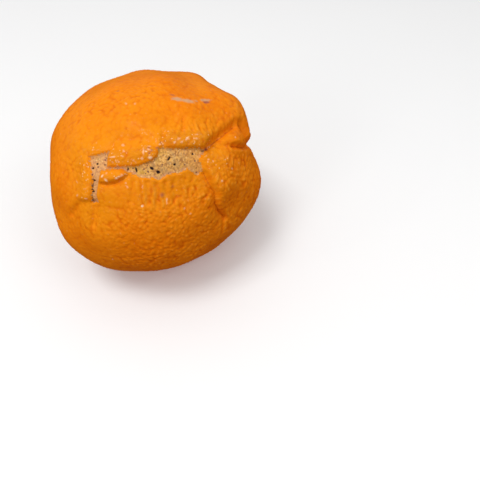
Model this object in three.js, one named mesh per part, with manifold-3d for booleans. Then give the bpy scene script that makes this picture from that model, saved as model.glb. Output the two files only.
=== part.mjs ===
// A lumpy, thick-skinned tangerine, lying on the small flat spot that it rests on.
// Millimetres, +Z up, the origin at the middle of the flat spot, the stem end towards +X.
// The skin is one closed surface: a radius for every direction out of the fruit's middle.

import * as THREE from 'three';
import { mergeVertices } from 'three/addons/utils/BufferGeometryUtils.js';
import Module from 'manifold-3d';

const wasm = await Module();
wasm.setup();

const degrees = THREE.MathUtils.degToRad;

// Driving sizes of the fruit
const HALF_LENGTH = 34.7;
const HALF_WIDTH = 32.6;
const HALF_DEPTH = 34;
const LENGTH_SLOPE = degrees(50);
const MIDDLE_HEIGHT = 33;
const MIDDLE = new THREE.Vector3(0, 0, MIDDLE_HEIGHT);

// Places on the skin are (right, up) in millimetres along the skin from its facing point,
// which looks to the front and up. They are laid out on a round of this radius.
const SKIN_ROUND = 34;
const FACE_RISE = degrees(42);
const FACE_ROLL = degrees(-9.5);

// Broad swellings and hollows: where, how high, how wide
const LOBES = [
  { at: [27, 21], rise: 4.0, spread: 9 },
  { at: [43, -10], rise: 3.3, spread: 12 },
  { at: [-36, -29], rise: 2.2, spread: 14 },
  { at: [-27, -38], rise: 0.6, spread: 8 },
  { at: [-44, -6], rise: -0.6, spread: 6 },
  { at: [-40, 23], rise: 1.2, spread: 16 },
  { at: [27, 36], rise: -1.6, spread: 5 },
  { at: [24.7, 28.9], rise: -0.9, spread: 3.2 },
  { at: [46, 13], rise: -2.4, spread: 6 },
  { at: [37.8, 15], rise: -0.8, spread: 3 },
  { at: [23.6, 9.8], rise: 1.9, spread: 4.0 },
  { at: [21, -1.5], rise: 1.9, spread: 6.5 },
  { at: [-8, 42], rise: -1.5, spread: 15 },
  { at: [20, 41], rise: 1.5, spread: 6 },
  { at: [44, 4], rise: 0.7, spread: 5 },
  { at: [30.5, -4], rise: 0.7, spread: 2.4 },
  { at: [5.5, 15.5], rise: -0.5, spread: 3 },
];

// Creases and furrows: a path on the skin, how deep the groove is, how wide on its right and on its
// left, and how far the bank on its left stands over the bank on its right
const CREASES = [
  // The main fold up to the right from the scar, the folds about the wedge beside it, and the one
  // that runs down from the scar's right-hand end
  { path: [[15.6, 7.2], [18.6, 9.5], [20.7, 11.1], [22.3, 12.5], [24.6, 14.0]],
    depth: 1.7, widths: [0.8, 1.6], bank: 0.8 },
  { path: [[27.2, 15.4], [28.4, 14.4], [29.6, 12.8], [30.8, 11.2], [33.0, 10.4], [44.8, 12.6]],
    depth: 1.8, widths: [1.1, 1.1], bank: 0.3 },
  { path: [[22.0, 8.2], [26.0, 8.0], [30.2, 8.4], [33.0, 10.0]],
    depth: 1.3, widths: [0.7, 0.7], bank: 0.2 },
  { path: [[13.8, -0.4], [15.5, -3.7], [17.2, -5.9], [18.5, -10.1], [21.2, -13.4], [24.7, -16.5]],
    depth: 1.6, widths: [1.0, 0.7], bank: 0.6 },
  // Furrows that run out from the stem end
  { path: [[54.0, 25.0], [46.8, 28.9], [34.1, 29.9]], depth: 1.5, widths: [1.8, 1.8], bank: 0 },
  { path: [[62.0, 22.0], [66.0, 32.0], [68.0, 42.0]], depth: 1.4, widths: [1.9, 1.9], bank: 0 },
  { path: [[63.0, 8.0], [72.0, 6.0], [80.0, 8.0]], depth: 1.4, widths: [1.9, 1.9], bank: 0 },
  { path: [[58.0, 1.0], [63.0, -10.0], [66.0, -20.0]], depth: 1.5, widths: [1.8, 1.8], bank: 0 },
  { path: [[48.2, 2.5], [45.1, -8.5], [43.8, -22.0]], depth: 1.0, widths: [1.6, 1.6], bank: 0 },
  // Short folds round the scar
  { path: [[2.5, 7.2], [2.1, 8.7], [2.5, 10.5]], depth: 0.8, widths: [0.6, 0.8], bank: 0.2 },
  { path: [[6.6, 9.4], [7.9, 12.3], [8.4, 15.7]], depth: 0.4, widths: [0.6, 0.6], bank: 0 },
  { path: [[-18.3, -9.6], [-18.8, -12.7], [-19.6, -16.3]], depth: 0.8, widths: [1.0, 1.0], bank: -0.2 },
  { path: [[-27.5, -13.7], [-24.9, -11.3], [-22.8, -9.5], [-19.9, -9.1]],
    depth: 0.6, widths: [1.2, 1.2], bank: 0.3 },
  { path: [[-15.2, -3.5], [-13.0, -3.6], [-11.0, -3.1], [-9.0, -2.1], [-7.6, -1.0]],
    depth: 0.8, widths: [0.5, 0.6], bank: 0.3 },
  { path: [[-9.2, 9.8], [-4.9, 9.0], [-1.4, 8.1]], depth: 0.5, widths: [1.2, 1.4], bank: 0 },
  { path: [[-12.5, 6.4], [-11.7, 8.0], [-10.2, 9.7]], depth: 0.35, widths: [0.7, 0.7], bank: 0 },
];
const BANK_REACH = 4;

// No groove is narrower than this, so that the facets can follow it
const NARROWEST = 0.95;

// The pleats that run into the scar from both sides: where each starts and ends, and its depth
const PLEATS = [
  { path: [[-6.1, -2.6], [-6.9, -8.4]], depth: 0.34 },
  { path: [[-2.2, -2.8], [-2.4, -8.6]], depth: 0.38 },
  { path: [[0.1, -3.4], [0.2, -9.6]], depth: 0.42 },
  { path: [[2.7, -2.6], [2.4, -8.0]], depth: 0.30 },
  { path: [[5.3, -2.4], [5.0, -8.2]], depth: 0.24 },
  { path: [[10.3, 9.4], [10.3, 12.4]], depth: 0.10 },
  { path: [[12.8, 10.6], [13.1, 14.2]], depth: 0.13 },
  { path: [[15.1, 11.4], [15.0, 14.8]], depth: 0.10 },
  { path: [[17.9, 12.8], [18.4, 16.0]], depth: 0.13 },
  { path: [[21.1, 14.6], [21.4, 17.8]], depth: 0.10 },
];
const PLEAT_WIDTH = 0.75;

// The corky scar: a hollow in the skin with this outline, in two arms joined at the left
const SCAR_LEFT = [
  [-19.4, 4.5], [-15.9, 5.1], [-12.7, 6.2], [-13.2, 4.1], [-13.4, 1.5], [-9.6, 1.5], [-4.9, 1.8],
];
const SCAR_TOP = [
  [-1.1, 3.0], [0.4, 4.3], [1.0, 6.7], [4.5, 6.6], [11.0, 6.8], [15.6, 6.9],
];
const SCAR_RIGHT = [
  [12.2, 3.7], [13.1, 2.0], [13.3, 0.3], [11.8, -1.1], [9.9, 0.2], [8.7, 0.9],
];
const SCAR_FOOT = [
  [6.4, -0.3], [3.1, -0.7], [1.0, -2.4], [-0.8, -1.6], [-3.6, -1.7], [-6.6, -0.4], [-9.6, 0.8],
  [-15.1, 0.4], [-15.6, -1.7], [-16.4, -3.9], [-17.2, -6.7], [-16.9, -9.2], [-19.3, -9.4],
  [-18.8, -6.1], [-18.0, -1.5],
];
const SCAR_OUTLINE = [...SCAR_LEFT, ...SCAR_TOP, ...SCAR_RIGHT, ...SCAR_FOOT];
const SCAR_DEPTH = 0.6;
const SCAR_WALL = 0.6;

// Outside the scar the skin swells as rounded lips over its edges
const LIPS = [
  { path: [[-11.3, 3.9], [-6.4, 4.1], [-2.0, 5.2]], rise: 1.3, spread: 2.1 },
  { path: [[3.3, 8.9], [8.9, 8.8], [14.0, 9.0]], rise: 1.4, spread: 2.3 },
  { path: [[-20.6, 2.7], [-20.7, -2.5], [-20.9, -8.1]], rise: 0.5, spread: 2.4 },
  { path: [[-19.6, 6.3], [-15.4, 7.1]], rise: 0.4, spread: 1.4 },
  { path: [[-14.0, -1.4], [-11.1, -1.3], [-8.7, -0.8]], rise: 0.8, spread: 1.3 },
  { path: [[14.9, 3.2], [20.0, 3.0]], rise: 0.6, spread: 2.3 },
];

// Slow unevenness over the whole skin
const LUMP_WAVES = 14;
const LUMP_LENGTH = 15;
const LUMP_RISE = 0.26;

// Stem end: a round pit with a flat floor, seen just past the right-hand edge
const STEM_AT = [57.5, 14];
const PIT_RADIUS = 3.9;
const PIT_FLOOR = 31.2;
const PIT_WALL = 1.6;
const PIT_SHOULDER = 9;
const PIT_DISH = 1.6;

// Blossom end: a small dimple opposite
const BLOSSOM_AT = [-56, -16];
const BLOSSOM_RADIUS = 2.6;
const BLOSSOM_DEPTH = 0.9;

// The dry button in the pit
const BUTTON_RADIUS = 3.0;
const BUTTON_THICK = 0.9;
const BUTTON_POINTS = 5;
const BUTTON_WAVE = 0.32;
const BUTTON_BEVEL = 0.3;
const STALK_RADIUS = 1.15;
const STALK_HEIGHT = 1.3;
const STALK_SINK = 0.4;
const STALK_TAPER = 0.85;
const STALK_SIDES = 20;
const SIDES_PER_POINT = 8;
const BEVEL_STEPS = 2;
const STALK_STEPS = 2;
const GAP = 0.3;

// Facets: coarse on plain skin, fine along the creases and the scar
const COARSE_DETAIL = 16;
const FINE_EDGE = 0.8;
const COARSE_EDGE = 3.2;
const EDGE_GROWTH = 0.55;
const REFINE_ROUNDS = 3;

// Directions with more than this along another one lie on the same side of the fruit
const FRONT = 0.5;
const TINY = 1e-9;

// Directions, and corners in millimetres, that are no further apart than this are one
const SAME_DIRECTION = 1e-5;
const SAME_CORNER = 1e-4;

// The skin's own axes: right, up and out of the facing point
const facing = new THREE.Vector3(0, -Math.cos(FACE_RISE), Math.sin(FACE_RISE));
const skinRight = new THREE.Vector3(1, 0, 0).applyAxisAngle(facing, FACE_ROLL);
const skinUp = new THREE.Vector3().crossVectors(facing, skinRight);
const skinAxes = new THREE.Matrix4().makeBasis(skinRight, skinUp, facing);

// The direction out of the middle that a place on the skin lies in, in the skin's own axes
function directionOf([right, up]) {
  const far = Math.hypot(right, up);
  const turn = far / SKIN_ROUND;
  const shrink = far > 0 ? Math.sin(turn) / far : 0;
  return new THREE.Vector3(right * shrink, up * shrink, Math.cos(turn));
}

// The place on the skin of a direction: the reverse of directionOf
function placeOf(direction) {
  const flat = Math.hypot(direction.x, direction.y);
  const turn = Math.atan2(flat, direction.z);
  const stretch = flat > 0 ? (SKIN_ROUND * turn) / flat : 0;
  return [direction.x * stretch, direction.y * stretch];
}

// Straight distance between a direction and a point, both laid on the skin's round
const apart = (direction, point) => SKIN_ROUND * direction.distanceTo(point);

const bump = (distance, spread) => Math.exp(-((distance / spread) ** 2));

// Nearest distance from a direction to a path, and its side: 1 on the path's left, -1 on its right,
// and the sine of the angle off the path's line in between, past its ends
function alongPath(direction, points) {
  let best = { distance: Infinity, side: 0 };
  for (let k = 0; k + 1 < points.length; k += 1) {
    const start = points[k];
    const run = points[k + 1].clone().sub(start);
    const left = new THREE.Vector3().crossVectors(start, run).normalize();
    const offset = direction.clone().sub(start);
    const t = THREE.MathUtils.clamp(offset.dot(run) / run.lengthSq(), 0, 1);
    const distance = SKIN_ROUND * offset.addScaledVector(run, -t).length();
    const lean = (SKIN_ROUND * direction.dot(left)) / Math.max(distance, TINY);
    const side = THREE.MathUtils.clamp(lean, -1, 1);
    const levelWith = distance < best.distance + TINY && Math.abs(side) > Math.abs(best.side);
    if (distance < best.distance - TINY || levelWith) {
      best = { distance, side };
    }
  }
  return best;
}

const prepared = (feature) => ({ ...feature, points: feature.path.map(directionOf) });
const lobes = LOBES.map((lobe) => ({ ...lobe, centre: directionOf(lobe.at) }));
const creases = CREASES.map(prepared);
const pleats = PLEATS.map(prepared);
const lips = LIPS.map(prepared);
const stemEnd = directionOf(STEM_AT);
const blossomEnd = directionOf(BLOSSOM_AT);

// The smooth body: an ellipsoid whose length slopes up to the right
function bodyRadius(direction) {
  const along = direction.x * Math.cos(LENGTH_SLOPE) + direction.y * Math.sin(LENGTH_SLOPE);
  const across = direction.y * Math.cos(LENGTH_SLOPE) - direction.x * Math.sin(LENGTH_SLOPE);
  return 1 / Math.hypot(along / HALF_LENGTH, across / HALF_WIDTH, direction.z / HALF_DEPTH);
}

const lobeRise = (direction) =>
  lobes.reduce((sum, lobe) => sum + lobe.rise * bump(apart(direction, lobe.centre), lobe.spread), 0);

// A groove, with one bank standing over the other and easing back into the skin; its width passes
// from one bank's to the other's with the side
function creaseRise(direction) {
  let rise = 0;
  for (const { points, depth, widths, bank } of creases) {
    const { distance, side } = alongPath(direction, points);
    const width = Math.max(NARROWEST, THREE.MathUtils.lerp(widths[0], widths[1], (1 + side) / 2));
    const groove = bump(distance, width);
    rise += bank * side * (1 - groove) * bump(distance, BANK_REACH * width) - depth * groove;
  }
  return rise;
}

const pleatRise = (direction) =>
  pleats.reduce(
    (sum, { points, depth }) => sum - depth * bump(alongPath(direction, points).distance, PLEAT_WIDTH),
    0,
  );

// The highest of the bells that stand about the lips' paths
function lipRise(direction) {
  const bells = lips.map(({ points, rise, spread }) =>
    rise * bump(alongPath(direction, points).distance, spread));
  return Math.max(...bells);
}

// Distance in millimetres from a place on the skin to the scar's edge, negative inside the scar
function scarDistance([right, up]) {
  let nearest = Infinity;
  let inside = false;
  SCAR_OUTLINE.forEach(([ax, ay], k) => {
    const [bx, by] = SCAR_OUTLINE[(k + 1) % SCAR_OUTLINE.length];
    const runX = bx - ax;
    const runY = by - ay;
    const t = THREE.MathUtils.clamp(
      ((right - ax) * runX + (up - ay) * runY) / (runX * runX + runY * runY), 0, 1);
    nearest = Math.min(nearest, Math.hypot(right - ax - t * runX, up - ay - t * runY));
    if ((ay > up) !== (by > up) && right < ax + ((up - ay) / runY) * runX) {
      inside = !inside;
    }
  });
  return inside ? -nearest : nearest;
}

// Inside the scar its floor lies below the skin, and outside it the lips stand over the edge
function scarRise(direction) {
  const scar = direction.z > FRONT ? scarDistance(placeOf(direction)) : Infinity;
  const outside = THREE.MathUtils.smoothstep(scar, -SCAR_WALL, SCAR_WALL);
  return lipRise(direction) * outside - SCAR_DEPTH * (1 - outside);
}

// Waves that cross each other in evenly spread directions make the slow lumps
function lumpRise(direction) {
  const golden = Math.PI * (3 - Math.sqrt(5));
  let sum = 0;
  for (let k = 0; k < LUMP_WAVES; k += 1) {
    const z = 1 - (2 * k + 1) / LUMP_WAVES;
    const ring = Math.sqrt(1 - z * z);
    const wave = direction.x * ring * Math.cos(k * golden) + direction.y * ring * Math.sin(k * golden)
      + direction.z * z;
    sum += Math.cos((wave * SKIN_ROUND * 2 * Math.PI) / LUMP_LENGTH + k * k * golden);
  }
  return (LUMP_RISE * sum) / Math.sqrt(LUMP_WAVES / 2);
}

// The skin's radius with every form but the two ends
const skinRadius = (direction) =>
  bodyRadius(direction) + lobeRise(direction) + creaseRise(direction) + pleatRise(direction)
  + scarRise(direction) + lumpRise(direction);

// The radius out of the fruit's middle, with the stem pit and the blossom dimple sunk in
function fruitRadius(direction) {
  const fromStem = apart(direction, stemEnd);
  const fromBlossom = apart(direction, blossomEnd);
  const skin = skinRadius(direction)
    - PIT_DISH * bump(fromStem, PIT_SHOULDER)
    - BLOSSOM_DEPTH * bump(fromBlossom, BLOSSOM_RADIUS);
  const floor = PIT_FLOOR / Math.max(direction.dot(stemEnd), FRONT);
  const outside = THREE.MathUtils.smoothstep(fromStem, PIT_RADIUS, PIT_RADIUS + PIT_WALL);
  return THREE.MathUtils.lerp(floor, skin, outside);
}

// How long an edge may be at a direction: short near a crease or the scar's edge
function wantedEdge(direction) {
  let nearest = Infinity;
  for (const { points } of [...creases, ...pleats]) {
    nearest = Math.min(nearest, alongPath(direction, points).distance);
  }
  if (direction.z > FRONT) {
    nearest = Math.min(nearest, Math.abs(scarDistance(placeOf(direction))));
  }
  nearest = Math.min(nearest, Math.abs(apart(direction, stemEnd) - PIT_RADIUS));
  return Math.min(COARSE_EDGE, FINE_EDGE + EDGE_GROWTH * nearest);
}

// Splits a triangle at the middles of its long edges, so that neighbours still share every corner
function splitTriangle([a, b, c], [ab, bc, ca]) {
  const count = [ab, bc, ca].filter((middle) => middle !== null).length;
  if (count === 0) return [[a, b, c]];
  if (count === 3) return [[a, ab, ca], [ab, b, bc], [ca, bc, c], [ab, bc, ca]];
  if (count === 1 && ab === null) return splitTriangle([b, c, a], [bc, ca, ab]);
  if (count === 1) return [[a, ab, c], [ab, b, c]];
  if (ca !== null) return splitTriangle([b, c, a], [bc, ca, ab]);
  return [[ab, b, bc], [a, ab, bc], [a, bc, c]];
}

// A round of unit directions in triangles, refined where the skin has fine forms
function roundOfDirections() {
  const ball = new THREE.IcosahedronGeometry(1, COARSE_DETAIL);
  ball.deleteAttribute('normal');
  ball.deleteAttribute('uv');
  const merged = mergeVertices(ball, SAME_DIRECTION);
  const place = merged.getAttribute('position');
  const points = Array.from({ length: place.count }, (_, k) =>
    new THREE.Vector3().fromBufferAttribute(place, k).normalize());
  const index = Array.from(merged.index.array);
  let faces = Array.from({ length: index.length / 3 }, (_, k) => index.slice(3 * k, 3 * k + 3));

  for (let round = 0; round < REFINE_ROUNDS; round += 1) {
    const middles = new Map();
    const middleOf = (first, second) => {
      const key = first < second ? `${first} ${second}` : `${second} ${first}`;
      if (!middles.has(key)) {
        const middle = points[first].clone().add(points[second]).normalize();
        const long = apart(points[first], points[second]) > wantedEdge(middle);
        middles.set(key, long ? points.push(middle) - 1 : null);
      }
      return middles.get(key);
    };
    faces = faces.flatMap(([a, b, c]) =>
      splitTriangle([a, b, c], [middleOf(a, b), middleOf(b, c), middleOf(c, a)]));
  }
  return { points, faces };
}

function geometryFrom(positions, index) {
  const geometry = new THREE.BufferGeometry();
  geometry.setAttribute('position', new THREE.Float32BufferAttribute(positions, 3));
  geometry.setIndex(index);
  return geometry;
}

// The whole fruit: every direction at its radius, cut level where it rests on the ground
function fruitGeometry() {
  const { points, faces } = roundOfDirections();
  const positions = points.flatMap((direction) => {
    const world = direction.clone().applyMatrix4(skinAxes);
    const reach = fruitRadius(direction);
    const toGround = world.z < 0 ? -MIDDLE_HEIGHT / world.z : Infinity;
    const corner = world.clone().multiplyScalar(Math.min(reach, toGround)).add(MIDDLE);
    if (reach >= toGround) corner.z = 0;
    return corner.toArray();
  });
  return geometryFrom(positions, faces.flat());
}

// A closed solid with a geometry's corners, for joining
function solidFrom(geometry) {
  const plain = geometry.clone();
  plain.deleteAttribute('normal');
  plain.deleteAttribute('uv');
  const merged = mergeVertices(plain, SAME_CORNER);
  return new wasm.Manifold(new wasm.Mesh({
    numProp: 3,
    vertProperties: new Float32Array(merged.getAttribute('position').array),
    triVerts: new Uint32Array(merged.index.array),
  }));
}

function geometryOf(solid) {
  const { vertProperties, triVerts } = solid.getMesh();
  return geometryFrom(Array.from(vertProperties), Array.from(triVerts));
}

// The button: a five-pointed dry disc with the broken stalk standing on it, base at z = 0
function buttonGeometry() {
  const sides = SIDES_PER_POINT * BUTTON_POINTS;
  const outline = new THREE.Shape(Array.from({ length: sides }, (_, k) => {
    const turn = (2 * Math.PI * k) / sides;
    const reach = BUTTON_RADIUS - BUTTON_BEVEL - BUTTON_WAVE * (1 - Math.cos(BUTTON_POINTS * turn));
    return new THREE.Vector2(reach * Math.cos(turn), reach * Math.sin(turn));
  }));
  const disc = new THREE.ExtrudeGeometry(outline, {
    depth: BUTTON_THICK - 2 * BUTTON_BEVEL,
    bevelSize: BUTTON_BEVEL,
    bevelThickness: BUTTON_BEVEL,
    bevelSegments: BEVEL_STEPS,
  });
  disc.translate(0, 0, BUTTON_BEVEL);
  const stalkTop = STALK_RADIUS * STALK_TAPER;
  const stalkLength = STALK_HEIGHT + STALK_SINK;
  const stalk = new THREE.CylinderGeometry(
    stalkTop, STALK_RADIUS, stalkLength, STALK_SIDES, STALK_STEPS);
  stalk.rotateX(Math.PI / 2);
  stalk.translate(0, 0, BUTTON_THICK + (STALK_HEIGHT - STALK_SINK) / 2);
  return geometryOf(solidFrom(disc).add(solidFrom(stalk)));
}

const rind = new THREE.MeshStandardMaterial({ color: '#ee8413', roughness: 0.42, metalness: 0 });
const dryButton = new THREE.MeshStandardMaterial({ color: '#93853f', roughness: 0.85, metalness: 0 });

const fruit = new THREE.Mesh(fruitGeometry(), rind);
fruit.name = 'fruit';

// The button sits in the stem pit, square to its floor
const stemDirection = stemEnd.clone().applyMatrix4(skinAxes);
const stemButton = new THREE.Mesh(buttonGeometry(), dryButton);
stemButton.name = 'stem_button';
stemButton.position.copy(MIDDLE).addScaledVector(stemDirection, PIT_FLOOR + GAP);
stemButton.quaternion.setFromUnitVectors(new THREE.Vector3(0, 0, 1), stemDirection);

const tangerine = new THREE.Group();
tangerine.add(fruit, stemButton);

export default tangerine;
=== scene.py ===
"""A lumpy, thick-skinned tangerine on a pale floor, with its corky scar, its folds and its stem button.

The skin is a radius for every direction out of the fruit's middle. Places on the skin are
(right, up) in millimetres along the skin from its facing point, which looks to the front and up.
"""

import bpy
import numpy as np
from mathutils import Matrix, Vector


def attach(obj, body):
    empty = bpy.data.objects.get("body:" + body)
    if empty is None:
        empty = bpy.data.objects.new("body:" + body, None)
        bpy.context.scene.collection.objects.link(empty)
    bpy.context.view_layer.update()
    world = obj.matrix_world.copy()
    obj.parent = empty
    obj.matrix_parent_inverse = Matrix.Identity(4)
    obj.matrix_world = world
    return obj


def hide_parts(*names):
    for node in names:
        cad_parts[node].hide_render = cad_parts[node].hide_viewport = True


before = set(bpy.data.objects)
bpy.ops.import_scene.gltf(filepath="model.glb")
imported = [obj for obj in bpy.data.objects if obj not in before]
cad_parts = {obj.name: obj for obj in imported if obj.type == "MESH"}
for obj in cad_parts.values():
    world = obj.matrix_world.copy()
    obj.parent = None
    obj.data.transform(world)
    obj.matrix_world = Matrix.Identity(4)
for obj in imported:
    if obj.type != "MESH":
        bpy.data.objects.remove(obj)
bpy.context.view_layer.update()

MM = 0.001
TINY = 1e-9

# Driving sizes of the fruit, in millimetres
HALF_LENGTH = 34.7
HALF_WIDTH = 32.6
HALF_DEPTH = 34.0
LENGTH_SLOPE = np.radians(50)
MIDDLE_HEIGHT = 33.0
SKIN_ROUND = 34.0
FACE_RISE = np.radians(42)
FACE_ROLL = np.radians(-9.5)

# Broad swellings and hollows: middle, rise, spread
LOBES = [
    ((27, 21), 4.0, 9),
    ((43, -10), 3.3, 12),
    ((-36, -29), 2.2, 14),
    ((-27, -38), 0.6, 8),
    ((-44, -6), -0.6, 6),
    ((-40, 23), 1.2, 16),
    ((27, 36), -1.6, 5),
    ((24.7, 28.9), -0.9, 3.2),
    ((46, 13), -2.4, 6),
    ((37.8, 15), -0.8, 3),
    ((23.6, 9.8), 1.9, 4.0),
    ((21, -1.5), 1.9, 6.5),
    ((-8, 42), -1.5, 15),
    ((20, 41), 1.5, 6),
    ((44, 4), 0.7, 5),
    ((30.5, -4), 0.7, 2.4),
    ((5.5, 15.5), -0.5, 3),
]

# Creases and furrows: path, depth, width on its right and on its left,
# and how far the bank on its left stands over the one on its right
CREASES = [
    ([(15.6, 7.2), (18.6, 9.5), (20.7, 11.1), (22.3, 12.5), (24.6, 14.0)], 1.7, 0.8, 1.6, 0.8),
    ([(27.2, 15.4), (28.4, 14.4), (29.6, 12.8), (30.8, 11.2), (33.0, 10.4), (44.8, 12.6)],
     1.8, 1.1, 1.1, 0.3),
    ([(23.8, 8.1), (26.0, 8.0), (30.2, 8.4), (33.0, 10.0)], 1.3, 0.7, 0.7, 0.2),
    ([(13.8, -0.4), (15.5, -3.7), (17.2, -5.9), (18.5, -10.1), (21.2, -13.4), (24.7, -16.5)],
     1.35, 1.0, 0.7, 0.6),
    ([(54.0, 25.0), (46.8, 28.9), (34.1, 29.9)], 1.5, 1.8, 1.8, 0),
    ([(62.0, 22.0), (66.0, 32.0), (68.0, 42.0)], 1.4, 1.9, 1.9, 0),
    ([(63.0, 8.0), (72.0, 6.0), (80.0, 8.0)], 1.4, 1.9, 1.9, 0),
    ([(58.0, 1.0), (63.0, -10.0), (66.0, -20.0)], 1.5, 1.8, 1.8, 0),
    ([(48.2, 2.5), (45.1, -8.5), (43.8, -22.0)], 1.0, 1.6, 1.6, 0),
    ([(2.5, 7.2), (2.1, 8.7), (2.5, 10.5)], 0.8, 0.6, 0.8, 0.2),
    ([(6.6, 9.4), (7.9, 12.3), (8.4, 15.7)], 0.5, 0.45, 0.45, 0),
    ([(-18.3, -9.6), (-18.8, -12.7), (-19.6, -16.3)], 0.8, 1.0, 1.0, -0.2),
    ([(-27.5, -13.7), (-24.9, -11.3), (-22.8, -9.5), (-19.9, -9.1)], 0.6, 1.2, 1.2, 0.3),
    ([(-15.2, -3.5), (-13.0, -3.6), (-11.0, -3.1), (-9.0, -2.1), (-7.6, -1.0)], 0.8, 0.5, 0.6, 0.3),
    ([(-9.2, 9.8), (-4.9, 9.0), (-1.4, 8.1)], 0.5, 1.2, 1.4, 0),
    ([(-12.5, 6.4), (-11.7, 8.0), (-10.2, 9.7)], 0.35, 0.7, 0.7, 0),
]
BANK_REACH = 4.0     # how far a bank reaches, in widths of its crease
# A crease's coloured bottom is painted shade
BOTTOM_SHARE = 0.5   # how wide a crease's coloured bottom is, in widths of the crease

# Pleats that run into the scar from both sides, and one that leads into the crease under the wedge:
# path and depth
PLEATS = [
    ([(-6.1, -2.6), (-6.9, -8.4)], 0.34),
    ([(-2.2, -2.8), (-2.4, -8.6)], 0.38),
    ([(0.1, -3.4), (0.2, -9.6)], 0.42),
    ([(2.7, -2.6), (2.4, -8.0)], 0.30),
    ([(5.3, -2.4), (5.0, -8.2)], 0.24),
    ([(10.3, 9.4), (10.3, 12.4)], 0.10),
    ([(12.8, 10.6), (13.1, 14.2)], 0.13),
    ([(15.1, 11.4), (15.0, 14.8)], 0.10),
    ([(17.9, 12.8), (18.4, 16.0)], 0.13),
    ([(21.1, 14.6), (21.4, 17.8)], 0.10),
    ([(19.0, 8.1), (24.6, 8.1)], 0.55),
]
PLEAT_WIDTH = 0.7

# The corky scar's outline: left block, top edge, right-hand end, then the foot back to the left
SCAR_OUTLINE = [
    (-19.4, 4.5), (-15.9, 5.1), (-12.7, 6.2), (-13.2, 4.1), (-13.4, 1.5), (-9.6, 1.5), (-4.9, 1.8),
    (-1.1, 3.0), (0.4, 4.3), (1.0, 6.7), (4.5, 6.6), (11.0, 6.8), (15.6, 6.9),
    (12.2, 3.7), (13.1, 2.0), (13.3, 0.3), (11.8, -1.1), (9.9, 0.2), (8.7, 0.9),
    (6.4, -0.3), (3.1, -0.7), (1.0, -2.4), (-0.8, -1.6), (-3.6, -1.7), (-6.6, -0.4), (-9.6, 0.8),
    (-15.1, 0.4), (-15.6, -1.7), (-16.4, -3.9), (-17.2, -6.7), (-16.9, -9.2), (-19.3, -9.4),
    (-18.8, -6.1), (-18.0, -1.5),
]

# How far the scar is sunk, and its rims: the step that finds them, then the distances to the scar's
# edge at which they start and are full, after that step and before it
SCAR_DEPTH = 0.6
SCAR_WALL = 0.3
RIM_WIDTH = 0.8
RIM_FADE = (-0.45, 0.25)
RIM_INSIDE = (0.3, -0.1)

# Outside the scar the skin swells as rounded lips over its edges: path, rise, spread
LIPS = [
    ([(-11.3, 3.9), (-6.4, 4.1), (-2.0, 5.2)], 1.3, 2.1),
    ([(3.3, 8.9), (8.9, 8.8), (14.0, 9.0)], 1.4, 2.3),
    ([(-20.6, 2.7), (-20.7, -2.5), (-20.9, -8.1)], 0.5, 2.4),
    ([(-19.6, 6.3), (-15.4, 7.1)], 0.4, 1.4),
    ([(-14.0, -1.4), (-11.1, -1.3), (-8.7, -0.8)], 0.8, 1.3),
    ([(14.9, 3.2), (20.0, 3.0)], 0.6, 2.3),
]

# Slow unevenness over the whole skin
LUMP_WAVES = 14
LUMP_LENGTH = 15.0
LUMP_RISE = 0.26

# The stem end's pit, with its floor's distance from the fruit's middle and the least cosine that the
# floor is worked out for, and the blossom end
STEM_AT = (57.5, 14)
PIT_RADIUS = 3.9
PIT_FLOOR = 31.2
PIT_LEAST_COSINE = 0.5
PIT_WALL = 1.6
PIT_SHOULDER = 9.0
PIT_DISH = 1.6
BLOSSOM_AT = (-56, -16)
BLOSSOM_RADIUS = 2.6
BLOSSOM_DEPTH = 0.9

# Dark pits in the cork, and painted shade down its left wall: place, half length, half width, slope in
# degrees, darkness
PITS_AND_WALL_SHADE = [
    ((0.7, 0.0), 0.42, 0.34, -20, 1.0),
    ((-1.0, 1.0), 0.50, 0.28, -35, 1.0),
    ((-5.3, 0.6), 0.60, 0.20, -75, 1.0),
    ((-7.6, 0.8), 0.34, 0.18, 80, 0.9),
    ((-17.7, -2.4), 0.45, 0.20, -5, 1.0),
    ((-18.4, -5.5), 0.50, 0.24, -40, 1.0),
    ((-18.0, 1.1), 0.36, 0.28, 10, 0.75),
    ((-16.6, 2.3), 0.30, 0.26, 0, 0.85),
    ((-16.5, 3.7), 0.24, 0.20, 30, 0.6),
    ((-14.3, 5.0), 0.30, 0.16, -30, 0.6),
    ((-13.9, 4.0), 0.24, 0.18, 20, 0.6),
    ((-14.3, 2.0), 0.26, 0.18, 0, 0.65),
    ((-19.0, -8.0), 0.28, 0.20, 0, 0.7),
    ((-17.7, -8.1), 0.24, 0.18, 0, 0.6),
    ((3.7, 3.7), 0.62, 0.24, 60, 0.75),
    ((5.2, 2.1), 0.32, 0.28, 0, 0.8),
    ((10.4, 5.1), 0.36, 0.18, 70, 0.8),
    ((13.5, 6.1), 0.30, 0.20, 40, 0.7),
    ((11.6, 1.2), 0.28, 0.20, 60, 0.6),
    ((8.4, 1.3), 0.22, 0.18, 0, 0.5),
    ((3.5, -0.3), 0.20, 0.18, 0, 0.6),
    ((1.1, 1.6), 0.22, 0.20, 0, 0.45),
    ((6.5, 5.6), 0.24, 0.18, 30, 0.5),
    ((-0.4, 2.7), 0.20, 0.20, 0, 0.4),
    # The last two are long dark lines down the strip's left wall: painted shade, over a shallow groove
    ((-18.2, -3.8), 2.4, 0.26, 80, 0.5),
    ((-18.9, -7.8), 1.8, 0.24, 81, 0.5),
]
PIT_DEPTH = 0.35
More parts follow.
